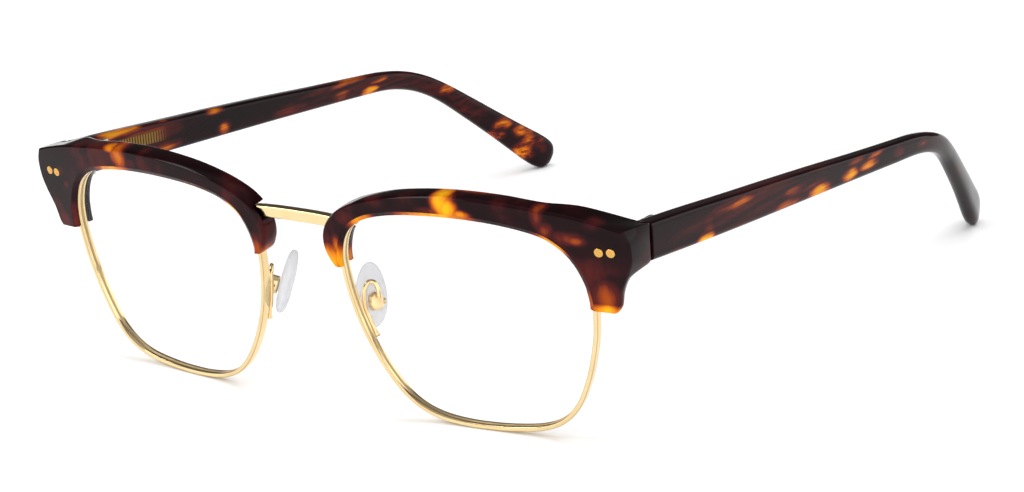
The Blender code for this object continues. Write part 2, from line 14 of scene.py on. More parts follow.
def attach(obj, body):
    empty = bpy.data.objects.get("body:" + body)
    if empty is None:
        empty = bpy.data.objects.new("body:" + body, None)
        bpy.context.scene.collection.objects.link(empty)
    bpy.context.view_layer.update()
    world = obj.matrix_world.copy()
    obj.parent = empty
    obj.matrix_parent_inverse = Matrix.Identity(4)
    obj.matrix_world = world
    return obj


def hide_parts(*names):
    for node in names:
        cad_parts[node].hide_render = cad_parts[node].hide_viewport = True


MM = 0.001
SIDES = {"left": -1, "right": 1}

# The CAD pieces that keep their shapes.
HINGE_PARTS = ("hinge_front_leaf", "hinge_temple_leaf", "hinge_screw")
SMALL_GOLD_PARTS = ("rim_lock_upper", "rim_lock_lower", "rim_lock_screw", "pad_screw", "core_wire")

# The front: one curved and tilted surface that passes through the rims' front edges.
FRONT_Y = -79.04
WRAP = 0.00312
TILT = math.tan(math.radians(8.0))
TILT_Z = 35.5

# Eyewire: half width seen from the front, depth, edge and lens groove.
RIM_HALF = 0.48
RIM_DEPTH = 1.9
RIM_EDGE = 0.22
GROOVE = 0.28
RIM_SPLIT = 0.03
RIM_SECTIONS = 300
# How far the rounding of each corner of its profile reaches. The three small ones are the groove's.
RIM_RADII = [0.1, 0.1, 0.1, 0.1, 0.1, 0.03, 0.05, 0.03, 0.1, 0.1, 0.1]
# The faces of the rounded profile in the lens groove and at the two front edges, which take a darker gold as
# painted shade.
RIM_SHADED_FACES = (*range(15, 21), 26, 32)

# Lens: its faces' outlines stand off the rim's inner side, and its bevel off the groove's floor. The
# shares are the rings of each face, from its outline to near its centre.
LENS_FRONT = 0.25
LENS_THICK = 1.5
LENS_BULGE = 0.5
LENS_CENTRE = (35.5, 22.0)
LENS_GAP = 0.06
BEVEL_GAP = 0.1
LENS_POINTS = 180
LENS_SHARES = [1.0, 0.93, 0.84, 0.74, 0.62, 0.48, 0.32, 0.16]

# Brow: depth of its front and back faces, the slot that takes the rim, and its edges.
BROW_FRONT = -1.0
BROW_BACK = 3.3
SLOT_FRONT = -0.25
SLOT_BACK = 2.15
SLOT_REACH = 0.8
BROW_INSET = 0.6
LIP_INSET = 0.45
LIP_BEVEL = 0.3
EDGE_BEVEL = 0.5
INNER_BEVEL = 0.9
CROWN = 0.12
# The most of the brow's width that its outer bevels and its inner bevel take.
EDGE_SHARE = 0.25
INNER_SHARE = 0.35
BROW_STEPS = 8
# The two points of its back face where the endpiece's block rises, as shares of the width from the
# outer edge, and how far in x and z the block's foot lies from its inner edge at the seam.
BLOCK_SHARES = (0.3, 0.45)
BLOCK_FOOT = (0.6, -0.45)
# The notch for the bridge: where it starts, how far it runs past the bridge's end and behind the
# brow, and its gap above and below.
NOTCH_START = 3.0
NOTCH_PAST = (1.7, 2.5)
NOTCH_GAP = 0.05

# The seam between the endpiece and the temple: y behind the front of its middle, and half its gap.
SEAM_Y = 14.0
SEAM_HALF = 0.15
ENDPIECE_BACK = FRONT_Y + SEAM_Y - SEAM_HALF
# The share of the endpiece's thickness that its outer edge's bevel takes at the seam.
SEAM_BEVEL = 0.08

# Rivets: x and z of each, seen from the front.
RIVETS = {"outer": (66.1, 38.2), "inner": (63.9, 38.15)}
RIVET_RADIUS = 0.85
RIVET_LENGTH = 3.6
# Share of the radius and depth behind the brow's face, from the middle of the head to its side.
RIVET_DOME = [(0.25, -0.07), (0.6, -0.05), (0.88, -0.01), (0.98, 0.04), (1.0, 0.12)]
# The holes for them: the gap round each, and how far it runs in front of the brow and past the rivet.
HOLE_GAP = 0.04
HOLE_PAST = (0.6, 0.3)

# Bridge bar.
BRIDGE_HALF = 11.2
BRIDGE_Z = 38.15
BRIDGE_HEIGHT = 2.3
BRIDGE_DEPTH = 1.7
BRIDGE_FRONT = 0.1
BRIDGE_BOW = 0.5
BRIDGE_DROP = 0.35
BRIDGE_RADIUS = 0.45
BRIDGE_STEPS = 64

# Nose pad, its box and its arm.
PAD_CENTRE = Vector((10.0, 8.4, 21.9))
PAD_LONG = Vector((-0.18, 0.28, 0.945))
PAD_SPLAY = math.radians(27.0)
PAD_LENGTH = 12.4
PAD_WIDTH = 6.4
PAD_THICK = 2.3
PAD_RINGS = 16
PAD_SIDES = 48
# How full its edge and its faces are, as powers of a round section's sine and cosine, and how much
# narrower its upper end is.
PAD_FULLNESS = (0.55, 0.8)
PAD_EGG = 0.14
BOX_SIZE = (2.6, 3.4, 1.7)
BOX_POCKET = (1.3, 2.6)
POCKET_PAST = 0.5
BOX_FLOOR = 0.45
BOX_GAP = 0.35
BOX_SHIFT = -1.2
# The box's cut corner as shares of its half sizes, and the share of its outline and the height of
# each ring at its open mouth and at its domed back.
BOX_CORNER = [(1.0, 0.55), (0.45, 1.0)]
BOX_RADIUS = 0.3
BOX_MOUTH = [(0.94, 0.0), (1.0, 0.12)]
BOX_DOME = [(1.0, -0.4), (0.96, -0.2), (0.86, -0.06), (0.7, 0.0)]
TAB_SIZE = (0.8, 1.7)
TAB_TOP = 0.4
# The arm, a direction that it never runs in, and the foot that it widens into over its first points.
ARM_RADIUS = 0.45
ARM_CROSS = Vector((0.3, 1.0, 0.1))
ARM_SIDES = 20
ARM_STEPS = 12
FOOT_EXTRA = 0.22
FOOT_POINTS = 10

# How far the rounding of the temple's edges reaches: along the arm, at the tail, and the stations
# between which it changes.
TEMPLE_RADIUS = 1.1
TAIL_RADIUS = 2.4
ROUND_TAIL = (6, 11)
# Its sections for each span of the stations, and the bevel of its front end.
TEMPLE_STEPS = 8
TEMPLE_BEVEL = 0.12

# Bore for the core wire inside the temple: half thickness and half height, and its last station.
BORE_HALF = (0.8, 1.05)
BORE_RADIUS = 0.3
BORE_ROWS = 8

# Stations of the brow: a point of the rim's centre line and the brow's outer edge there.
BROW = [
    ((9.95, 29.9), (8.8, 29.95)),
    ((9.95, 31.2), (7.8, 31.1)),
    ((10.35, 33.3), (6.95, 33.2)),
    ((11.2, 35.6), (6.95, 35.8)),
    ((12.6, 37.7), (8.15, 38.4)),
    ((14.8, 39.5), (10.9, 41.0)),
    ((18.2, 41.0), (15.7, 43.3)),
    ((23.6, 42.1), (22.4, 45.1)),
    ((30.0, 42.6), (29.8, 46.1)),
    ((37.0, 42.7), (37.3, 46.45)),
    ((44.0, 42.3), (45.3, 46.2)),
    ((50.0, 41.4), (53.0, 45.4)),
    ((54.0, 40.2), (60.0, 44.45)),
    ((57.0, 38.2), (65.0, 43.4)),
    ((58.5, 36.6), (68.9, 42.3)),
    ((59.5, 35.0), (69.8, 40.0)),
    ((60.3, 33.2), (69.8, 36.8)),
    ((60.9, 31.4), (69.0, 34.3)),
    ((61.05, 30.4), (68.3, 32.8)),
    ((61.2, 29.3), (67.2, 30.4)),
    ((61.3, 27.9), (66.6, 27.8)),
    ((61.25, 26.9), (65.9, 26.7)),
]
BROW_CORNER = 14
# The station where the rim is split, between the two lock blocks, and the rim's points for each span.
LOCK_STATION = 17
RIM_STEPS = 12
# How far the rounding of each corner of the brow's section reaches, and the faces of a rounded
# section that make up the inner bevel.
BROW_RADII = [0.0, 0.12, 0.12, 0.16, 0.2, 0.0, 0.0, 0.0, 0.16, 0.16, 0.3, 0.3, 0.1, 0.1, 0.0, 0.0, 0.0]
BEVEL_FACES = range(0, 6)
# At the seam: x and z of the block's outer and inner edges, by station.
SEAM_STATIONS = {
    13: ((66.3, 41.9), (65.7, 41.6)),
    14: ((69.5, 41.8), (65.7, 40.1)),
    15: ((69.5, 39.3), (65.7, 38.5)),
    16: ((69.5, 36.4), (65.7, 36.6)),
    17: ((69.2, 34.6), (65.8, 34.8)),
}
# Depth of the outer edge's back, where it isn't the back face's.
OUTER_BACK = {12: 4.7, 18: 2.8, 19: 1.6, 20: 1.4, 21: 1.4}

# The rest of the rim's centre line, from the endpiece round the bottom to the nasal tip.
RIM_LOWER = [
    (61.0, 24.2),
    (60.45, 20.6),
    (59.1, 15.6),
    (57.5, 11.3),
    (55.3, 7.1),
    (52.1, 3.75),
    (47.7, 1.75),
    (42.0, 0.85),
    (36.5, 0.5),
    (31.0, 0.6),
    (26.2, 1.3),
    (22.3, 2.8),
    (19.3, 5.1),
    (16.6, 8.5),
    (14.1, 12.8),
    (12.1, 17.6),
    (10.9, 22.0),
    (10.15, 26.4),
]

# Temple: y behind the front, x and z of the centre line, height and thickness.
TEMPLE = [
    (14.15, 67.6, 38.15, 7.1, 3.9),
    (26.0, 67.7, 37.25, 7.0, 3.85),
    (40.0, 67.8, 36.15, 6.6, 3.8),
    (56.0, 67.8, 34.95, 6.1, 3.7),
    (72.0, 67.7, 33.7, 5.5, 3.6),
    (88.0, 67.5, 32.35, 4.8, 3.5),
    (102.0, 67.3, 31.2, 4.35, 3.45),
    (112.0, 67.0, 30.3, 4.2, 3.4),
    (119.0, 66.5, 28.9, 4.2, 3.4),
    (125.0, 65.6, 26.7, 4.2, 3.4),
    (130.5, 64.2, 23.5, 4.3, 3.4),
    (137.2, 62.3, 18.5, 4.9, 3.4),
    (144.3, 60.2, 12.95, 5.7, 3.4),
    (150.0, 58.4, 8.4, 6.6, 3.4),
    (153.6, 57.25, 5.55, 7.2, 3.4),
    (156.1, 56.45, 3.65, 7.1, 3.2),
    (157.73, 55.95, 2.5, 6.0, 2.7),
    (158.63, 55.7, 1.85, 3.6, 1.7),
]

# Route of the nose pad's arm, from its foot on the rim to the box.
ARM = [
    (12.95, 5.75, 15.2),
    (12.4, 5.5, 16.8),
    (11.65, 5.2, 18.9),
    (11.2, 4.95, 20.8),
    (11.1, 4.95, 22.6),
    (11.2, 5.35, 24.3),
    (11.6, 6.1, 25.3),
    (12.3, 6.85, 25.1),
    (12.95, 6.95, 23.9),
    (13.4, 6.6, 22.5),
]

# Amber and red patches in the tortoise. Each has its centre (x, y behind the front, z), the reach in
# the same directions where it has faded to a fifth, and its strength: 1 is yellow amber, 0.6 orange
# and 0.35 deep red.
BROW_PATCHES = {
    "right": [
        ((34.4, 1.0, 45.0), (2.5, 6.0, 4.2), 1.0),
        ((35.6, 0.0, 43.9), (2.8, 3.0, 3.2), 1.0),
        ((37.8, 0.0, 42.9), (3.2, 2.0, 1.3), 0.82),
        ((39.5, 4.0, 46.3), (8.0, 3.0, 1.8), 0.62),
        ((33.0, 0.0, 43.2), (7.0, 3.0, 1.4), 0.42),
        ((53.2, 0.5, 44.0), (2.0, 3.0, 3.6), 0.5),
        ((54.4, 0.5, 41.6), (2.5, 3.0, 2.4), 0.52),
        ((57.6, 0.5, 40.4), (5.4, 3.0, 2.2), 0.46),
        ((60.0, 0.5, 40.0), (3.2, 3.0, 1.5), 0.53),
        ((63.3, 0.5, 43.2), (2.8, 3.0, 1.8), 0.32),
        ((64.0, 1.0, 29.6), (4.4, 4.0, 5.0), 0.57),
        ((64.0, 1.0, 26.8), (4.6, 5.0, 1.9), 0.95),
        ((62.6, 0.5, 33.2), (2.6, 3.0, 1.8), 0.38),
        ((8.2, 1.0, 31.0), (4.0, 6.0, 4.6), 0.95),
        ((10.0, 0.5, 34.0), (1.7, 3.0, 3.2), 0.74),
        ((8.0, 0.5, 35.2), (2.4, 3.0, 2.6), 0.36),
        ((13.2, 0.5, 40.2), (4.6, 3.0, 3.0), 0.34),
        ((20.0, 0.5, 43.6), (4.4, 3.0, 2.2), 0.28),
    ],
    "left": [
        ((-43.2, 1.0, 44.4), (3.2, 6.0, 4.0), 0.7),
        ((-45.6, 0.5, 45.7), (3.4, 3.0, 1.2), 0.74),
        ((-36.4, 0.5, 44.2), (2.6, 3.0, 3.2), 0.42),
        ((-40.0, 0.5, 43.6), (7.0, 3.0, 2.0), 0.34),
        ((-55.6, 0.5, 43.6), (1.2, 3.0, 3.2), 0.26),
        ((-61.6, 0.5, 36.0), (1.4, 3.0, 1.1), 0.4),
        ((-62.8, 0.5, 38.6), (1.6, 3.0, 2.0), 0.28),
        ((-64.3, 0.5, 28.0), (3.4, 4.0, 3.4), 0.36),
        ((-14.6, 0.5, 41.0), (2.8, 3.0, 3.0), 0.34),
        ((-9.2, 0.5, 31.0), (2.6, 3.0, 4.6), 0.62),
        ((-7.6, 4.0, 33.0), (2.6, 3.4, 5.0), 0.46),
    ],
}
BEVEL_PATCHES = {
    "right": [
        ((32.0, 0.0, 42.0), (11.0, 4.0, 5.0), 0.88),
        ((55.8, 0.0, 39.5), (5.6, 4.0, 4.0), 0.85),
        ((16.5, 0.0, 40.0), (4.4, 4.0, 4.0), 0.78),
        ((9.0, 0.0, 31.0), (4.0, 5.0, 5.0), 0.95),
        ((61.5, 0.0, 28.0), (4.0, 5.0, 5.0), 0.5),
    ],
    "left": [
        ((-45.6, 0.0, 42.0), (7.0, 4.0, 5.0), 0.8),
        ((-13.2, 0.0, 38.4), (3.6, 4.0, 3.4), 0.95),
        ((-9.0, 0.0, 31.0), (3.0, 5.0, 5.5), 0.52),
        ((-24.0, 0.0, 42.0), (5.0, 4.0, 5.0), 0.3),
        ((-61.5, 0.0, 29.0), (4.0, 5.0, 6.0), 0.34),
    ],
}
TEMPLE_PATCHES = {
    "right": [
        ((69.6, 31.3, 33.4), (3.0, 3.6, 2.2), 1.0),
        ((69.6, 32.2, 35.4), (3.0, 2.4, 4.6), 0.34),
        ((69.6, 42.6, 37.4), (3.0, 7.0, 1.5), 0.56),
        ((69.6, 38.0, 38.2), (3.0, 9.0, 1.3), 0.42),
        ((69.6, 21.0, 34.4), (3.0, 5.0, 1.6), 0.3),
        ((69.6, 59.0, 32.2), (3.0, 8.0, 1.8), 0.52),
        ((69.6, 62.0, 34.6), (3.0, 6.0, 1.4), 0.42),
        ((69.6, 71.2, 31.6), (3.0, 5.4, 2.0), 0.95),
        ((69.6, 70.0, 33.8), (3.0, 7.0, 1.0), 0.4),
        ((69.6, 83.5, 31.8), (3.0, 4.2, 1.6), 0.76),
        ((69.6, 91.0, 32.0), (3.0, 5.0, 1.4), 0.7),
        ((69.6, 85.5, 34.0), (3.0, 4.6, 0.8), 0.66),
        ((69.6, 93.5, 33.4), (3.0, 5.0, 0.7), 0.56),
        ((69.6, 103.0, 31.6), (3.0, 3.4, 1.6), 0.4),
        ((69.6, 113.0, 30.6), (3.0, 3.4, 1.4), 0.42),
        ((65.0, 138.0, 18.6), (3.0, 5.0, 1.6), 0.4),
    ],
    "left": [
        ((-65.8, 27.0, 40.8), (3.0, 9.5, 1.7), 0.95),
        ((-65.8, 40.6, 40.4), (3.0, 4.4, 1.7), 0.7),
        ((-65.8, 33.0, 38.0), (3.0, 15.0, 3.4), 0.4),
        ((-65.8, 55.2, 38.4), (3.0, 4.2, 1.6), 0.8),
        ((-65.8, 57.2, 33.2), (3.0, 3.4, 2.2), 0.66),
        ((-65.8, 38.5, 34.0), (3.0, 7.0, 1.6), 0.56),
        ((-65.8, 78.0, 32.0), (3.0, 8.0, 1.8), 0.38),
        ((-65.8, 88.0, 33.6), (3.0, 8.0, 1.0), 0.3),
        ((-67.0, 101.0, 33.3), (4.0, 12.0, 1.0), 0.6),
        ((-65.8, 106.0, 29.8), (3.0, 4.2, 1.3), 0.95),
        ((-65.8, 96.0, 31.0), (3.0, 5.0, 1.5), 0.54),
        ((-65.8, 110.0, 31.4), (3.0, 5.0, 0.8), 0.6),
        ((-63.3, 131.0, 24.6), (4.0, 3.8, 1.6), 0.66),
        ((-59.5, 145.6, 13.2), (4.0, 3.6, 2.0), 0.66),
        ((-60.0, 143.0, 10.8), (4.0, 3.6, 2.0), 0.5),
        ((-58.0, 151.6, 8.4), (4.0, 3.0, 4.2), 0.66),
        ((-58.0, 150.2, 5.6), (4.0, 3.4, 3.4), 0.68),
        ((-57.0, 149.6, 10.6), (4.0, 3.6, 2.2), 0.6),
        ((-56.5, 155.0, 6.2), (4.0, 3.4, 3.4), 0.4),
    ],
}
# Where the ribbed core wire shows through the left temple's amber: y behind the front of its ends, x
# where it starts to show and shows fully, z and slope of its middle, its half height, the pitch of
# its teeth, and over what lengths it fades at its two ends and its edges.
RIBS = {
    "ends": (21.0, 40.5),
    "inner": (-66.5, -66.0),
    "middle": 38.2,
    "slope": -0.075,
    "half": 1.0,
    "pitch": 0.8,
    "fades": (1.5, 6.0),
    "edge": 0.3,
}
# The tortoise's colours by tone, from near black through red to yellow amber.
TORTOISE_TONES = [
    (0.0, (0.004, 0.0015, 0.002)),
    (0.16, (0.016, 0.0028, 0.004)),
    (0.34, (0.080, 0.009, 0.008)),
    (0.52, (0.34, 0.055, 0.004)),
    (0.72, (0.72, 0.21, 0.004)),
    (0.95, (0.88, 0.43, 0.006)),
]
# How the pattern runs. On the temples it is drawn out along them. For each: how far the patches' edges
# wander, in metres, how the clouds and the veins are stretched, and the veins' darkest and lightest.
GRAIN = {
    "brow": ((0.002, 0.002, 0.0014), (1.0, 1.0, 1.0), (0.6, 0.6, 0.12), (0.9, 1.08)),
    "temple": ((0.002, 0.006, 0.001), (1.0, 0.15, 1.0), (1.0, 0.05, 1.0), (0.66, 1.2)),
}

# Colour, and lowest and highest roughness, of each metal.
METALS = {
    "pale_gold": ((0.86, 0.67, 0.37), (0.1, 0.2)),
    # Painted light: the pad box's gold is a brighter copy of the pale gold, so that the small box looks lit.
    "painted_light_clip_gold": ((0.92, 0.72, 0.4), (0.3, 0.42)),
    "rivet_gold": ((0.72, 0.41, 0.11), (0.2, 0.3)),
    # Painted shade: a darker gold for the rim's lens groove and its two front edges.
    "painted_shade_gold": ((0.46, 0.34, 0.17), (0.42, 0.55)),
    "hinge_steel": ((0.62, 0.57, 0.48), (0.22, 0.36)),
}

# The studio's brightness: what lights things softly, what the camera sees, and what shows in
# reflections.
SOFT_LIGHT = 0.45
BACKDROP = 1.2
DARK_STUDIO = 0.08
DIM_CEILING = 0.5
# The heights of direction between which the dark studio turns into its ceiling.
CEILING_EDGE = (0.75, 0.9)
# Bright areas that show in reflections, by the direction to them: the axis that each spreads along,
# where on it the area starts and is full, the height of its top, and its brightness.
BRIGHT_AREAS = [
    ("X", -0.6, -0.68, 0.1, 1.8),
    ("Y", -0.1, -0.4, 0.4, 1.8),
    ("X", 0.2, 0.3, 0.6, 1.7),
]
# Over what height, to each side of its top, an area fades.
AREA_EDGE = 0.04

# The camera: where it stands, which way it looks, and its lens.
CAMERA_PLACE = (0.3671, -0.50734, 0.2023)
CAMERA_AZIMUTH = 36.646
CAMERA_ELEVATION = 17.353
CAMERA_ROLL = -3.714
CAMERA_LENS = 112.45
CAMERA_SHIFT = (0.00297, 0.01743)


def front(x, z, depth):
    """The point depth behind the front surface, for a point given as seen from the front."""
    y = FRONT_Y + WRAP * x * x / 2 - TILT * (z - TILT_Z)
    normal = Vector((-WRAP * x, 1.0, TILT)).normalized()
    return Vector((x, y, z)) + depth * normal


def mirrored(points, side):
    return [Vector((side * p.x, p.y, p.z)) for p in points]


def catmull(before, start, end, after, t):
    """A point of the smooth curve from start to end."""
    return tuple(
        0.5 * (2 * b + (c - a) * t + (2 * a - 5 * b + 4 * c - d) * t * t + (3 * b - a - 3 * c + d) * t**3)
        for a, b, c, d in zip(before, start, end, after)
    )


def smooth_run(points, steps, closed=False):
    """A smooth curve through the points, with steps points for each span."""
    count = len(points)
    spans = count if closed else count - 1
    out = []
    for i in range(spans):
        before = points[(i - 1) % count] if closed or i else points[0]
        after = points[(i + 2) % count] if closed or i + 2 < count else points[-1]
        for step in range(steps):
            out.append(catmull(before, points[i], points[(i + 1) % count], after, step / steps))
    if not closed:
        out.append(tuple(points[-1]))
    return out


def evenly(points, count, skip):
    """count points at equal distances along an open line, leaving out skip at both ends."""
    lengths = [0.0]
    for a, b in zip(points, points[1:]):
        lengths.append(lengths[-1] + (Vector(b) - Vector(a)).length)
    out = []
    at = 0
    for i in range(count):
        wanted = skip + (lengths[-1] - 2 * skip) * i / (count - 1)
        while at < len(points) - 2 and lengths[at + 1] < wanted:
            at += 1
        share = (wanted - lengths[at]) / (lengths[at + 1] - lengths[at])
        out.append(Vector(points[at]).lerp(Vector(points[at + 1]), share))
    return out


def outward(before, after):
    """The direction away from the lens, for a line that runs clockwise as seen from the front."""
    along = Vector(after) - Vector(before)
    return Vector((-along.y, along.x)).normalized()


def rounded(ring, radii, steps=3):
    """The ring with its corners rounded. radii holds how far each corner's rounding reaches."""
    out = []
    for i, corner in enumerate(ring):
        before = ring[i - 1] - corner
        after = ring[(i + 1) % len(ring)] - corner
        start = corner + before * min(0.45, radii[i] / max(before.length, 1e-6))
        end = corner + after * min(0.45, radii[i] / max(after.length, 1e-6))
        if radii[i] == 0.0:
            out.append(corner)
            continue
        for step in range(steps + 1):
            t = step / steps
            out.append(start * (1 - t) ** 2 + corner * 2 * t * (1 - t) + end * t**2)
    return out


def loft_faces(rings, size, first=0):
    """Faces of a tube of rings, each of size points, with a cap at both ends."""
    faces = []
    for i in range(rings - 1):
        a = first + i * size
        b = a + size
        for j in range(size):
            k = (j + 1) % size
            faces.append((a + j, a + k, b + k, b + j))
    faces.append(tuple(range(first, first + size)))
    faces.append(tuple(range(first + (rings - 1) * size, first + rings * size)))
    return faces


def mesh_of(name, points, faces):
    """A mesh with its faces turned outwards. The points are in millimetres."""
    mesh = bpy.data.meshes.new(name)
    mesh.from_pydata([p * MM for p in points], [], faces)
    work = bmesh.new()
    work.from_mesh(mesh)
    bmesh.ops.recalc_face_normals(work, faces=work.faces)
    work.to_mesh(mesh)
    work.free()
    return mesh


def loft(name, sections, finish, sharp):
    """A shown piece through the sections, shaded smooth up to the sharp angle in degrees."""
    points = [p for section in sections for p in section]
    mesh = mesh_of(name, points, loft_faces(len(sections), len(sections[0])))
    for polygon in mesh.polygons:
        polygon.use_smooth = True
    mesh.set_sharp_from_angle(angle=math.radians(sharp))
    mesh.materials.append(finish)
    made = bpy.data.objects.new(name, mesh)
    bpy.context.scene.collection.objects.link(made)
    return made


def even_shading(made):
    """Keeps flat faces flat in their shading next to small rounded edges."""
    modifier = made.modifiers.new("even_shading", "WEIGHTED_NORMAL")
    modifier.keep_sharp = True
    modifier.weight = 80


def stands_for(made, node, body):
    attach(made, body)
    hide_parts(node)


def box_points(place, ranges):
    """Two rings of four corners. place turns three local coordinates into a point."""
    (a0, a1), (b0, b1), (c0, c1) = ranges
    corners = [(a0, b0), (a1, b0), (a1, b1), (a0, b1)]
    return [[place(a, b, c) for a, b in corners] for c in (c0, c1)]


def rod_points(place, centre, radius, ends, sides):
    """Rings of a round rod along the third local direction."""
    turns = [2 * math.pi * i / sides for i in range(sides)]
    return [
        [place(centre[0] + radius * math.cos(t), centre[1] + radius * math.sin(t), end) for t in turns]
        for end in ends
    ]


def combine(target, operation, shapes, sharp, side=1):
    """Adds or cuts away closed shapes, each a list of rings that don't touch the others'."""
    points = []
    faces = []
    for rings in shapes:
        faces += loft_faces(len(rings), len(rings[0]), first=len(points))
        points += [p for ring in rings for p in mirrored(ring, side)]
    name = target.name + "_helper"
    helper = bpy.data.objects.new(name, mesh_of(name, points, faces))
    bpy.context.scene.collection.objects.link(helper)
    modifier = target.modifiers.new(operation.lower(), "BOOLEAN")
    modifier.operation = operation
    modifier.object = helper
    bpy.context.view_layer.update()
    graph = bpy.context.evaluated_depsgraph_get()
    mesh = bpy.data.meshes.new_from_object(target.evaluated_get(graph))
    target.modifiers.clear()
    target.data = mesh
    bpy.data.objects.remove(helper, do_unlink=True)
    mesh.set_sharp_from_angle(angle=math.radians(sharp))


def rim_line():
    return [rim for rim, _ in BROW] + RIM_LOWER


def rim_path(count, skip):
    """Points and outward directions along the rim, from the lock round and back to it."""
    line = smooth_run(rim_line(), RIM_STEPS, closed=True)
    start = RIM_STEPS * LOCK_STATION
    line = line[start:] + line[: start + 1]
    path = evenly(line, count, skip)
    ends = [path[0]] + path + [path[-1]]
    return [(path[i], outward(ends[i], ends[i + 2])) for i in range(count)]


def make_rim(label, side, finish, painted_shade_finish):
    """The eyewire: a front band, a lens groove inside and rounded edges. Its groove and front edges take a
    darker gold, a painted shade.
    """
    edge = RIM_EDGE
    middle = RIM_DEPTH / 2
    profile = [
        Vector((RIM_HALF, edge)),
        Vector((RIM_HALF, RIM_DEPTH - edge)),
        Vector((RIM_HALF - edge, RIM_DEPTH)),
        Vector((edge - RIM_HALF, RIM_DEPTH)),
        Vector((-RIM_HALF, RIM_DEPTH - edge)),
        Vector((-RIM_HALF, middle + GROOVE)),
        Vector((GROOVE - RIM_HALF, middle)),
        Vector((-RIM_HALF, middle - GROOVE)),
        Vector((-RIM_HALF, edge)),
        Vector((edge - RIM_HALF, 0.0)),
        Vector((RIM_HALF - edge, 0.0)),
    ]
    profile = rounded(profile, RIM_RADII, steps=2)
    sections = []
    for point, away in rim_path(RIM_SECTIONS, RIM_SPLIT):
        ring = [front(*(point + reach * away), depth) for reach, depth in profile]
        sections.append(mirrored(ring, side))
    rim = loft("eyewire_" + label, sections, finish, sharp=50)
    rim.data.materials.append(painted_shade_finish)
    # Painted shade: the faces in the groove and on the front edges take the darker gold.
    for i in range(len(sections) - 1):
        for j in RIM_SHADED_FACES:
            rim.data.polygons[i * len(profile) + j].material_index = 1
    even_shading(rim)
    stands_for(rim, "rim_" + label, "front")


def make_lens(label, side, finish):
    """A thin curved lens whose bevelled edge runs in the rim's groove."""
    centre = Vector(LENS_CENTRE)
    path = rim_path(LENS_POINTS + 1, 0.0)[:-1]
    edge = [point - (RIM_HALF + LENS_GAP) * away for point, away in path]
    bevel = [point - (RIM_HALF - GROOVE + BEVEL_GAP) * away for point, away in path]

    def face_rings(depth):
        return [
            [front(*centre.lerp(p, share), depth - LENS_BULGE * (1 - share * share)) for p in edge]
            for share in LENS_SHARES
        ]

    rings = list(reversed(face_rings(LENS_FRONT)))
    rings.append([front(*p, LENS_FRONT + LENS_THICK / 2) for p in bevel])
    rings += face_rings(LENS_FRONT + LENS_THICK)
    lens = loft("clear_lens_" + label, [mirrored(ring, side) for ring in rings], finish, sharp=40)
    stands_for(lens, "lens_" + label, "front")


def brow_section(index):
    """One section of the brow at a station, as a ring of points."""
    line = rim_line()
    rim = Vector(line[index])
    away = outward(line[index - 1], line[index + 1])
    outer = Vector(BROW[index][1])
    inward = (rim - outer).normalized()
    width = (rim - outer).length
    bevel = min(EDGE_BEVEL, EDGE_SHARE * width)
    face_inner = min(INNER_BEVEL, INNER_SHARE * width) - BROW_INSET
    back = OUTER_BACK.get(index, BROW_BACK)
    ring = [
        front(*(rim - BROW_INSET * away), SLOT_FRONT),
        front(*(rim - BROW_INSET * away), BROW_FRONT + EDGE_BEVEL),
        front(*(rim + face_inner * away), BROW_FRONT),
        front(*(outer + bevel * inward), BROW_FRONT),
        front(*outer, BROW_FRONT + bevel),
        front(*outer, back - bevel),
        front(*(outer + bevel * inward), back),
        front(*(outer + BLOCK_SHARES[0] * width * inward), BROW_BACK),
        front(*(outer + BLOCK_SHARES[1] * width * inward), BROW_BACK),
        front(*(rim + (LIP_BEVEL - LIP_INSET) * away), BROW_BACK),
        front(*(rim - LIP_INSET * away), BROW_BACK - LIP_BEVEL),
        front(*(rim - LIP_INSET * away), SLOT_BACK),
        front(*(rim + SLOT_REACH * away), SLOT_BACK),
        front(*(rim + SLOT_REACH * away), SLOT_FRONT),
    ]
    if index in SEAM_STATIONS:
        (out_x, out_z), (in_x, in_z) = SEAM_STATIONS[index]
        back_outer = Vector((out_x, ENDPIECE_BACK, out_z))
        back_inner = Vector((in_x, ENDPIECE_BACK, in_z))
        ring[5] = back_outer - Vector((0.0, bevel, 0.0))
        ring[6] = back_outer.lerp(back_inner, SEAM_BEVEL)
        ring[7] = back_inner
        ring[8] = front(in_x + BLOCK_FOOT[0], in_z + BLOCK_FOOT[1], BROW_BACK)
    return ring


def brow_sections():
    """Fine sections through the stations. The outline's corner stays crisp."""
    stations = [brow_section(i) for i in range(len(BROW))]
    lines = [[tuple(ring[j]) for ring in stations] for j in range(len(stations[0]))]
    refined = []
    for line in lines:
        before = smooth_run(line[: BROW_CORNER + 1], BROW_STEPS)
        after = smooth_run(line[BROW_CORNER:], BROW_STEPS)
        refined.append(before + after[1:])
    sections = [[Vector((x, min(y, ENDPIECE_BACK), z)) for x, y, z in section] for section in zip(*refined)]
    return [rounded(crowned(section), BROW_RADII) for section in sections]


def crowned(section):
    """The section with its top face, between its fifth and sixth points, a little convex."""
    away = (section[3] - section[2]).normalized()
    front_edge, back_edge = section[4] - CROWN * away, section[5] - CROWN * away
    shares = (0.25, 0.5, 0.75)
    top = [front_edge.lerp(back_edge, t) + 4 * t * (1 - t) * CROWN * away for t in shares]
    return section[:4] + [front_edge, *top, back_edge] + section[6:]


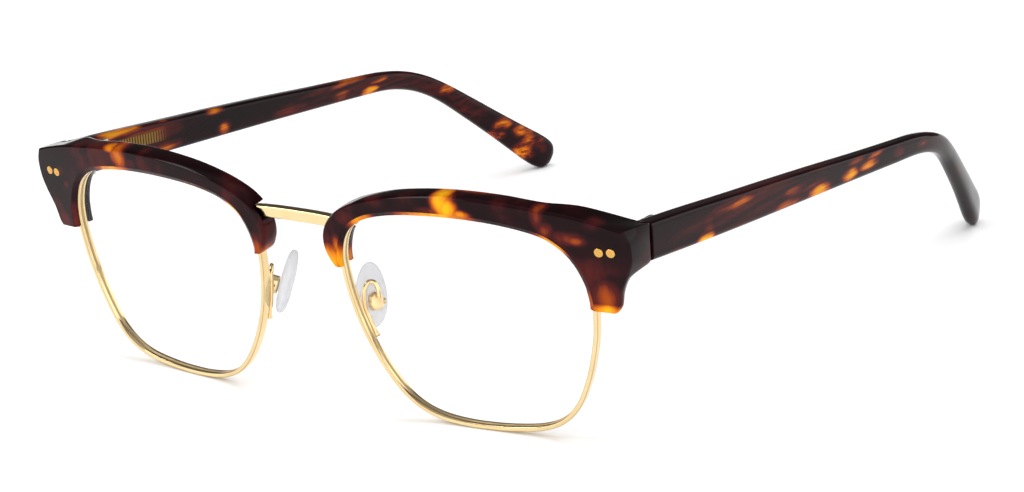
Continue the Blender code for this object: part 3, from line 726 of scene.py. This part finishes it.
def make_brow(label, side, finish, bevel_finish):
    """The brow, with the finish of its inner bevel on its own faces."""
    sections = [mirrored(section, side) for section in brow_sections()]
    brow = loft("tortoise_brow_" + label, sections, finish, sharp=32)
    brow.data.materials.append(bevel_finish)
    size = len(sections[0])
    for i in range(len(sections) - 1):
        for j in BEVEL_FACES:
            brow.data.polygons[i * size + j].material_index = 1
    reach = BRIDGE_HEIGHT / 2 + NOTCH_GAP
    widths = (NOTCH_START, BRIDGE_HALF + NOTCH_PAST[0])
    heights = (BRIDGE_Z - BRIDGE_DROP - reach, BRIDGE_Z + reach)
    notch = box_points(front, (widths, heights, (SLOT_FRONT, BROW_BACK + NOTCH_PAST[1])))
    ends = (BROW_FRONT - HOLE_PAST[0], BROW_FRONT + RIVET_LENGTH + HOLE_PAST[1])
    holes = [rod_points(front, spot, RIVET_RADIUS + HOLE_GAP, ends, sides=40) for spot in RIVETS.values()]
    combine(brow, "DIFFERENCE", [notch, *holes], sharp=32, side=side)
    even_shading(brow)
    stands_for(brow, "brow_" + label, "front")


def make_rivets(label, side, finish):
    """Rivets with a slightly domed head."""
    for where, spot in RIVETS.items():
        rings = []
        for share, depth in [*RIVET_DOME, (1.0, RIVET_LENGTH)]:
            rings += rod_points(front, spot, RIVET_RADIUS * share, (BROW_FRONT + depth,), sides=32)
        rivet = loft(f"rivet_head_{where}_{label}", [mirrored(r, side) for r in rings], finish, sharp=50)
        stands_for(rivet, f"rivet_{where}_{label}", "front")


def make_bridge(finish):
    """A bar with soft edges that bows back a little and drops at its ends."""
    half_height = BRIDGE_HEIGHT / 2
    half_depth = BRIDGE_DEPTH / 2
    corners = [
        Vector((half_height, -half_depth)),
        Vector((half_height, half_depth)),
        Vector((-half_height, half_depth)),
        Vector((-half_height, -half_depth)),
    ]
    profile = rounded(corners, [BRIDGE_RADIUS] * 4, steps=5)
    sections = []
    for i in range(BRIDGE_STEPS + 1):
        share = 2 * i / BRIDGE_STEPS - 1
        x = BRIDGE_HALF * share
        z = BRIDGE_Z - BRIDGE_DROP * share**4
        depth = half_depth + BRIDGE_FRONT + BRIDGE_BOW * (1 - share * share)
        sections.append([front(x, z + up, depth + back) for up, back in profile])
    bridge = loft("bridge_bar", sections, finish, sharp=50)
    even_shading(bridge)
    stands_for(bridge, "bridge", "front")


def pad_place(side):
    """Local coordinates at the nose pad: across its width, along it, and out from the nose."""
    long_way = PAD_LONG.normalized()
    wide_way = Vector((math.sin(PAD_SPLAY), math.cos(PAD_SPLAY), 0.0))
    wide_way = (wide_way - wide_way.dot(long_way) * long_way).normalized()
    away = wide_way.cross(long_way)
    centre = PAD_CENTRE + Vector((0.0, FRONT_Y, 0.0))

    def place(wide, long, out):
        point = centre + wide * wide_way + long * long_way + out * away
        return Vector((side * point.x, point.y, point.z))

    return place


def clip_place(side):
    """Local coordinates round the pad's screw. The screw runs along the pad's width."""
    place = pad_place(side)
    screw_out = PAD_THICK / 2 + BOX_GAP + (BOX_SIZE[2] - BOX_FLOOR) / 2

    def shifted(wide, long, out):
        return place(wide, long + BOX_SHIFT, out + screw_out)

    return shifted


def make_pad(label, side, finish):
    """An egg-shaped soft pad with a full round edge, and the tab that holds it."""
    place = pad_place(side)
    rings = []
    for i in range(1, PAD_RINGS):
        lift = math.pi * i / PAD_RINGS
        share = math.sin(lift) ** PAD_FULLNESS[0]
        out = -0.5 * PAD_THICK * math.copysign(abs(math.cos(lift)) ** PAD_FULLNESS[1], math.cos(lift))
        ring = []
        for j in range(PAD_SIDES):
            turn = 2 * math.pi * j / PAD_SIDES
            narrow = 1.0 - PAD_EGG * math.sin(turn)
            wide = 0.5 * PAD_WIDTH * share * narrow * math.cos(turn)
            ring.append(place(wide, 0.5 * PAD_LENGTH * share * math.sin(turn), out))
        rings.append(ring)
    pad = loft("silicone_pad_" + label, rings, finish, sharp=60)
    clip = clip_place(side)
    half_wide, half_long = TAB_SIZE[0] / 2, TAB_SIZE[1] / 2
    foot = -(BOX_SIZE[2] - BOX_FLOOR) / 2 - BOX_GAP - PAD_THICK / 3
    tab = box_points(clip, ((-half_wide, half_wide), (-half_long, half_long), (foot, TAB_TOP)))
    combine(pad, "UNION", [tab], sharp=60)
    stands_for(pad, "nose_pad_" + label, "pad_body_" + label)


def make_pad_box(label, side, finish):
    """A small eight-sided box with soft edges, open towards the pad."""
    place = clip_place(side)
    half_wide, half_long = BOX_SIZE[0] / 2, BOX_SIZE[1] / 2
    half = BOX_CORNER + [(-wide, long) for wide, long in reversed(BOX_CORNER)]
    corners = [Vector((wide * half_wide, long * half_long)) for wide, long in half]
    corners += [-corner for corner in corners]
    outline = rounded(corners, [BOX_RADIUS] * 8)
    inner = -(BOX_SIZE[2] - BOX_FLOOR) / 2
    outer = inner + BOX_SIZE[2]
    heights = [(share, inner + rise) for share, rise in BOX_MOUTH]
    heights += [(share, outer + rise) for share, rise in BOX_DOME]
    rings = [[place(share * p.x, share * p.y, out) for p in outline] for share, out in heights]
    pad_box = loft("pad_clip_" + label, rings, finish, sharp=40)
    wide, long = BOX_POCKET[0] / 2, BOX_POCKET[1] / 2
    depths = (inner - POCKET_PAST, outer - BOX_FLOOR)
    pocket = box_points(place, ((-wide, wide), (-long, long), depths))
    combine(pad_box, "DIFFERENCE", [pocket], sharp=40)
    stands_for(pad_box, "pad_box_" + label, "front")


def make_arm(label, side, finish):
    """Bent round wire that widens into a foot where it is soldered to the rim."""
    path = [Vector(p) + Vector((0.0, FRONT_Y, 0.0)) for p in smooth_run(ARM, ARM_STEPS)]
    turns = [2 * math.pi * j / ARM_SIDES for j in range(ARM_SIDES)]
    sections = []
    for i, point in enumerate(path):
        along = (path[min(i + 1, len(path) - 1)] - path[max(i - 1, 0)]).normalized()
        first = along.cross(ARM_CROSS).normalized()
        second = along.cross(first)
        radius = ARM_RADIUS + FOOT_EXTRA * max(0.0, 1 - i / FOOT_POINTS) ** 2
        sections.append([point + radius * (math.cos(t) * first + math.sin(t) * second) for t in turns])
    arm = loft("pad_wire_" + label, [mirrored(s, side) for s in sections], finish, sharp=50)
    stands_for(arm, "pad_arm_" + label, "front")


def temple_stations():
    """Centre, directions across and up, height and thickness along the temple."""
    rows = smooth_run(TEMPLE, TEMPLE_STEPS)
    stations = []
    for i, (y, x, z, height, thick) in enumerate(rows):
        a = rows[max(i - 1, 0)]
        b = rows[min(i + 1, len(rows) - 1)]
        along = Vector((b[1] - a[1], b[0] - a[0], b[2] - a[2])).normalized()
        if i == 0:
            along = Vector((0.0, 1.0, 0.0))
        across = along.cross(Vector((0.0, 0.0, 1.0))).normalized()
        up = across.cross(along).normalized()
        stations.append((Vector((x, FRONT_Y + y, z)), across, up, height, thick))
    return stations


def box_ring(centre, across, up, half_thick, half_height, radius):
    """A rectangle with rounded corners, as a ring of 24 points."""
    spots = [(half_thick, -half_height), (half_thick, half_height)]
    spots += [(-half_thick, half_height), (-half_thick, -half_height)]
    corners = [centre + s * across + t * up for s, t in spots]
    return rounded(corners, [radius] * 4, steps=5)


def make_temple(label, side, finish):
    """The outer skin and the wire's bore in one closed shape, open at the front end."""
    stations = temple_stations()
    tail_start, tail_end = ROUND_TAIL
    outer = []
    for i, (centre, across, up, height, thick) in enumerate(stations):
        share = min(1.0, max(0.0, (i / TEMPLE_STEPS - tail_start) / (tail_end - tail_start)))
        radius = TEMPLE_RADIUS + share * (TAIL_RADIUS - TEMPLE_RADIUS)
        inset = TEMPLE_BEVEL if i == 0 else 0.0
        outer.append(box_ring(centre, across, up, thick / 2 - inset, height / 2 - inset, radius))
    centre, across, up, height, thick = stations[0]
    past_edge = centre + Vector((0.0, TEMPLE_BEVEL, 0.0))
    outer.insert(1, box_ring(past_edge, across, up, thick / 2, height / 2, TEMPLE_RADIUS))
    bore = [
        box_ring(centre, across, up, *BORE_HALF, BORE_RADIUS)
        for centre, across, up, _, _ in stations[: BORE_ROWS * TEMPLE_STEPS : 2]
    ]
    rings = [mirrored(ring, side) for ring in list(reversed(outer)) + bore]
    temple = loft("tortoise_temple_" + label, rings, finish, sharp=40)
    even_shading(temple)
    stands_for(temple, "temple_" + label, "temple_body_" + label)


def add_node(tree, kind, inputs=None, **settings):
    """A shader node. Each input is a plain value or another node's output."""
    made = tree.nodes.new(kind)
    for key, value in settings.items():
        setattr(made, key, value)
    for key, value in (inputs or {}).items():
        if isinstance(value, bpy.types.NodeSocket):
            tree.links.new(value, made.inputs[key])
        else:
            made.inputs[key].default_value = value
    return made


def calculate(tree, operation, first, second=0.0):
    return add_node(tree, "ShaderNodeMath", {0: first, 1: second}, operation=operation).outputs[0]


def vector_step(tree, operation, first, second):
    return add_node(tree, "ShaderNodeVectorMath", {0: first, 1: second}, operation=operation).outputs[0]


def noise(tree, place, scale, detail=2.0, stretch=(1.0, 1.0, 1.0), output="Fac"):
    """Noise at so many waves for each metre, stretched along an axis by a factor under 1."""
    stretched = vector_step(tree, "MULTIPLY", place, stretch)
    inputs = {"Vector": stretched, "Scale": scale, "Detail": detail}
    return add_node(tree, "ShaderNodeTexNoise", inputs).outputs[output]


def graded(tree, value, low, high, out_low=0.0, out_high=1.0):
    """The value eased from low..high to out_low..out_high."""
    inputs = {0: value, 1: low, 2: high, 3: out_low, 4: out_high}
    return add_node(tree, "ShaderNodeMapRange", inputs, interpolation_type="SMOOTHSTEP").outputs[0]


def ramp(tree, value, stops):
    made = add_node(tree, "ShaderNodeValToRGB", {0: value})
    elements = made.color_ramp.elements
    while len(elements) < len(stops):
        elements.new(0.5)
    for element, (position, color) in zip(elements, stops):
        element.position = position
        element.color = (*color, 1.0)
    return made.outputs[0]


def new_material(name):
    """A material and its node tree, principled shader and object coordinates."""
    made = bpy.data.materials.new(name)
    made.use_nodes = True
    tree = made.node_tree
    place = add_node(tree, "ShaderNodeTexCoord").outputs["Object"]
    return made, tree, tree.nodes["Principled BSDF"], place


def patch_mask(tree, place, centre, reach, strength):
    """A soft spot: strength in its middle, and a fifth of it at its reach."""
    offset = vector_step(tree, "SUBTRACT", place, [c * MM for c in centre])
    scaled = vector_step(tree, "MULTIPLY", offset, [1 / (r * MM) for r in reach])
    distance = add_node(tree, "ShaderNodeVectorMath", {0: scaled}, operation="LENGTH").outputs["Value"]
    return graded(tree, distance, 0.15, 1.35, strength, 0.0)


def wandering(tree, place, scale, amounts):
    """The place, shifted by noise by so much along each axis, so that spots get ragged edges."""
    shift = noise(tree, place, scale, 3.0, output="Color")
    centred = vector_step(tree, "SUBTRACT", shift, (0.5, 0.5, 0.5))
    scaled = vector_step(tree, "MULTIPLY", centred, amounts)
    return vector_step(tree, "ADD", place, scaled)


def rib_tone(tree, place):
    """The light and dark teeth of the core wire, and where they show on the temple's inner face."""
    parts = add_node(tree, "ShaderNodeSeparateXYZ", {0: place}).outputs
    turn = calculate(tree, "MULTIPLY", parts["Y"], 2 * math.pi / (RIBS["pitch"] * MM))
    teeth = graded(tree, calculate(tree, "SINE", turn), -0.8, 0.2)
    first, last = [(FRONT_Y + end) * MM for end in RIBS["ends"]]
    fade_in, fade_out = [length * MM for length in RIBS["fades"]]
    begun = graded(tree, parts["Y"], first, first + fade_in)
    ended = graded(tree, parts["Y"], last - fade_out, last, 1.0, 0.0)
    middle = calculate(tree, "MULTIPLY", calculate(tree, "SUBTRACT", parts["Y"], first), RIBS["slope"])
    level = calculate(tree, "SUBTRACT", calculate(tree, "SUBTRACT", parts["Z"], middle), RIBS["middle"] * MM)
    height = calculate(tree, "ABSOLUTE", level)
    in_height = graded(tree, height, RIBS["half"] * MM, (RIBS["half"] + RIBS["edge"]) * MM, 1.0, 0.0)
    in_length = calculate(tree, "MULTIPLY", begun, ended)
    inner = graded(tree, parts["X"], *[x * MM for x in RIBS["inner"]])
    shown = calculate(tree, "MULTIPLY", inner, calculate(tree, "MULTIPLY", in_height, in_length))
    return teeth, shown


def tortoise(name, patches, kind, ribs=False):
    """Polished acetate: near black with deep red clouds, and amber where the patches are."""
    made, tree, shader, place = new_material(name)
    wander, cloud_stretch, vein_stretch, vein_depth = GRAIN[kind]
    ragged = wandering(tree, place, 130.0, wander)
    clouds = noise(tree, place, 90.0, 3.0, cloud_stretch)
    tone = graded(tree, clouds, 0.36, 0.74, 0.05, 0.31)
    for (x, y, z), reach, strength in patches:
        middle = (x, FRONT_Y + y, z) if kind == "temple" else tuple(front(x, z, y))
        spot = patch_mask(tree, ragged, middle, reach, strength)
        tone = calculate(tree, "MAXIMUM", tone, spot)
    veins = noise(tree, place, 1100.0, 3.0, vein_stretch)
    tone = calculate(tree, "MULTIPLY", tone, graded(tree, veins, 0.3, 0.7, *vein_depth))
    color = ramp(tree, tone, TORTOISE_TONES)
    if ribs:
        teeth, shown = rib_tone(tree, place)
        wire = ramp(tree, teeth, [(0.0, (0.030, 0.010, 0.004)), (1.0, (0.27, 0.15, 0.025))])
        mix = add_node(tree, "ShaderNodeMix", {0: shown, 6: color, 7: wire}, data_type="RGBA")
        color = mix.outputs[2]
    tree.links.new(color, shader.inputs["Base Color"])
    gloss = noise(tree, place, 420.0, 2.0)
    tree.links.new(graded(tree, gloss, 0.3, 0.7, 0.06, 0.12), shader.inputs["Roughness"])
    shader.inputs["Specular IOR Level"].default_value = 0.1
    bump_height = noise(tree, place, 150.0, 1.0)
    bump = add_node(tree, "ShaderNodeBump", {"Strength": 0.06, "Distance": 0.0004, "Height": bump_height})
    tree.links.new(bump.outputs[0], shader.inputs["Normal"])
    return made


def polished_metal(name):
    """Plated metal with faint draw lines and small differences in colour and gloss."""
    made, tree, shader, place = new_material(name)
    color, rough = METALS[name]
    tint = noise(tree, place, 120.0, 2.0)
    deep = tuple(c * f for c, f in zip(color, (0.94, 0.9, 0.84)))
    tree.links.new(ramp(tree, tint, [(0.35, deep), (0.65, color)]), shader.inputs["Base Color"])
    gloss = noise(tree, place, 700.0, 3.0)
    tree.links.new(graded(tree, gloss, 0.3, 0.7, *rough), shader.inputs["Roughness"])
    shader.inputs["Metallic"].default_value = 1.0
    lines = noise(tree, place, 2600.0, 2.0, (1.0, 0.2, 0.2))
    bump = add_node(tree, "ShaderNodeBump", {"Strength": 0.05, "Distance": 0.0001, "Height": lines})
    tree.links.new(bump.outputs[0], shader.inputs["Normal"])
    return made


def clear_lens(name):
    """Clear lens: nearly unseen from straight on, with a faint sheen at a slant."""
    made, tree, shader, _ = new_material(name)
    shader.inputs["Base Color"].default_value = (0.97, 0.98, 1.0, 1.0)
    shader.inputs["Roughness"].default_value = 0.02
    slant = add_node(tree, "ShaderNodeLayerWeight", {"Blend": 0.25}).outputs["Facing"]
    tree.links.new(graded(tree, slant, 0.2, 1.0, 0.015, 0.16), shader.inputs["Alpha"])
    return made


def soft_silicone(name):
    """Clear silicone with a faint cloudiness."""
    made, tree, shader, place = new_material(name)
    haze = noise(tree, place, 300.0, 2.0)
    color = ramp(tree, haze, [(0.3, (0.6, 0.61, 0.65)), (0.7, (0.68, 0.69, 0.73))])
    tree.links.new(color, shader.inputs["Base Color"])
    shader.inputs["Roughness"].default_value = 0.16
    shader.inputs["IOR"].default_value = 1.2
    slant = add_node(tree, "ShaderNodeLayerWeight", {"Blend": 0.35}).outputs["Facing"]
    tree.links.new(graded(tree, slant, 0.1, 1.0, 0.42, 0.8), shader.inputs["Alpha"])
    return made


def finish_cad(parts, label, finish):
    """Gives a better material to CAD pieces that stay as they are."""
    for part in parts:
        for material_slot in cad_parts[f"{part}_{label}"].material_slots:
            material_slot.material = finish


def make_pieces():
    metal = {name: polished_metal(name) for name in METALS}
    gold = metal["pale_gold"]
    lens = clear_lens("lens_clear")
    silicone = soft_silicone("silicone_clear")
    make_bridge(gold)
    for label, side in SIDES.items():
        brow = tortoise("tortoise_brow_" + label, BROW_PATCHES[label], "brow")
        bevel = tortoise("tortoise_bevel_" + label, BEVEL_PATCHES[label], "brow")
        temple = tortoise("tortoise_temple_" + label, TEMPLE_PATCHES[label], "temple", ribs=label == "left")
        make_rim(label, side, gold, metal["painted_shade_gold"])
        make_lens(label, side, lens)
        make_brow(label, side, brow, bevel)
        make_rivets(label, side, metal["rivet_gold"])
        make_arm(label, side, gold)
        # Painted light: the pad box takes the brighter copy of the gold.
        make_pad_box(label, side, metal["painted_light_clip_gold"])
        make_pad(label, side, silicone)
        make_temple(label, side, temple)
        finish_cad(HINGE_PARTS, label, metal["hinge_steel"])
        finish_cad(SMALL_GOLD_PARTS, label, gold)


def make_floor():
    """A plain white floor that runs past the camera's view."""
    made, tree, shader, place = new_material("white_floor")
    grain = noise(tree, place, 40.0, 2.0)
    color = ramp(tree, grain, [(0.3, (0.92, 0.92, 0.92)), (0.7, (0.94, 0.94, 0.94))])
    tree.links.new(color, shader.inputs["Base Color"])
    shader.inputs["Roughness"].default_value = 0.7
    shader.inputs["Specular IOR Level"].default_value = 0.1
    bpy.ops.mesh.primitive_plane_add(size=24.0, location=(0.0, 6.0, 0.0))
    floor = bpy.context.object
    floor.name = "floor"
    floor.data.materials.append(made)
    return floor


def make_world():
    """White for the camera and even for soft light. Reflections see a dark studio with bright areas
    and a dim ceiling."""
    world = bpy.data.worlds.new("studio")
    bpy.context.scene.world = world
    world.use_nodes = True
    tree = world.node_tree
    tree.nodes.clear()
    way = add_node(tree, "ShaderNodeTexCoord").outputs["Generated"]
    parts = add_node(tree, "ShaderNodeSeparateXYZ", {0: way}).outputs
    studio = graded(tree, parts["Z"], *CEILING_EDGE, DARK_STUDIO, DIM_CEILING)
    for axis, start, full, top, brightness in BRIGHT_AREAS:
        reached = graded(tree, parts[axis], start, full)
        under_top = graded(tree, parts["Z"], top - AREA_EDGE, top + AREA_EDGE, brightness, 0.0)
        area = calculate(tree, "MULTIPLY", reached, under_top)
        studio = calculate(tree, "MAXIMUM", studio, area)
    path = add_node(tree, "ShaderNodeLightPath").outputs
    seen = calculate(tree, "MAXIMUM", path["Is Camera Ray"], path["Is Transmission Ray"])
    level = add_node(tree, "ShaderNodeMix", {0: path["Is Glossy Ray"], 2: SOFT_LIGHT, 3: studio}).outputs[0]
    level = add_node(tree, "ShaderNodeMix", {0: seen, 2: level, 3: BACKDROP}).outputs[0]
    white = {"Color": (1.0, 1.0, 1.0, 1.0), "Strength": level}
    background = add_node(tree, "ShaderNodeBackground", white).outputs[0]
    add_node(tree, "ShaderNodeOutputWorld", {"Surface": background})


def add_light(name, kind, place, target, energy, size, in_reflections):
    """A lamp at a place in metres that shines at the target. A sun's size is in degrees."""
    lamp = bpy.data.lights.new(name, kind)
    lamp.energy = energy
    if kind == "SUN":
        lamp.angle = math.radians(size)
    else:
        lamp.size = size
    made = bpy.data.objects.new(name, lamp)
    made.location = place
    made.rotation_euler = (Vector(target) - Vector(place)).to_track_quat("-Z", "Y").to_euler()
    made.visible_glossy = in_reflections
    bpy.context.scene.collection.objects.link(made)
    return made


def make_lights(floor):
    """An overhead lamp that lights only the floor, a fill that adds no glints, and a small softbox."""
    middle = (0.0, 0.0, 0.02)
    overhead = add_light("overhead", "SUN", (0.3, 0.35, 2.0), middle, 1.7, 60, in_reflections=False)
    lit = bpy.data.collections.new("lit_by_overhead")
    lit.objects.link(floor)
    overhead.light_linking.receiver_collection = lit
    add_light("front_fill", "SUN", (0.7, -1.6, 0.7), middle, 2.0, 70, in_reflections=False)
    add_light("edge_box", "AREA", (-0.9, -0.75, 1.15), (0.0, -0.07, 0.04), 5.0, 0.5, in_reflections=True)


def make_camera():
    azimuth, elevation, roll = map(math.radians, (CAMERA_AZIMUTH, CAMERA_ELEVATION, CAMERA_ROLL))
    right = Vector((math.cos(azimuth), math.sin(azimuth), 0.0))
    level = Vector((-math.sin(azimuth), math.cos(azimuth), 0.0))
    ahead = math.cos(elevation) * level - Vector((0.0, 0.0, math.sin(elevation)))
    up = right.cross(ahead)
    turned_right = math.cos(roll) * right + math.sin(roll) * up
    turned_up = -math.sin(roll) * right + math.cos(roll) * up
    data = bpy.data.cameras.new("camera")
    data.sensor_width = 36.0
    data.lens = CAMERA_LENS
    data.shift_x, data.shift_y = CAMERA_SHIFT
    data.clip_start = 0.05
    data.clip_end = 50.0
    camera = bpy.data.objects.new("camera", data)
    turn = Matrix((turned_right, turned_up, -ahead)).transposed().to_4x4()
    camera.matrix_world = Matrix.Translation(CAMERA_PLACE) @ turn
    bpy.context.scene.collection.objects.link(camera)
    bpy.context.scene.camera = camera


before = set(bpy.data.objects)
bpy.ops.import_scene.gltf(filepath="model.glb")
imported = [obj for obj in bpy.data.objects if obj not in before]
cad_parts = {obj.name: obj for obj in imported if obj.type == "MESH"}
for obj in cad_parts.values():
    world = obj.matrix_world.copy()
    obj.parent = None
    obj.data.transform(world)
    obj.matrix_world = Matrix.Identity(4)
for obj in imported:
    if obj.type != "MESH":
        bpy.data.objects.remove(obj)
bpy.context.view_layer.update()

make_camera()
make_world()
make_lights(make_floor())
make_pieces()
bpy.context.scene.view_settings.view_transform = "Standard"
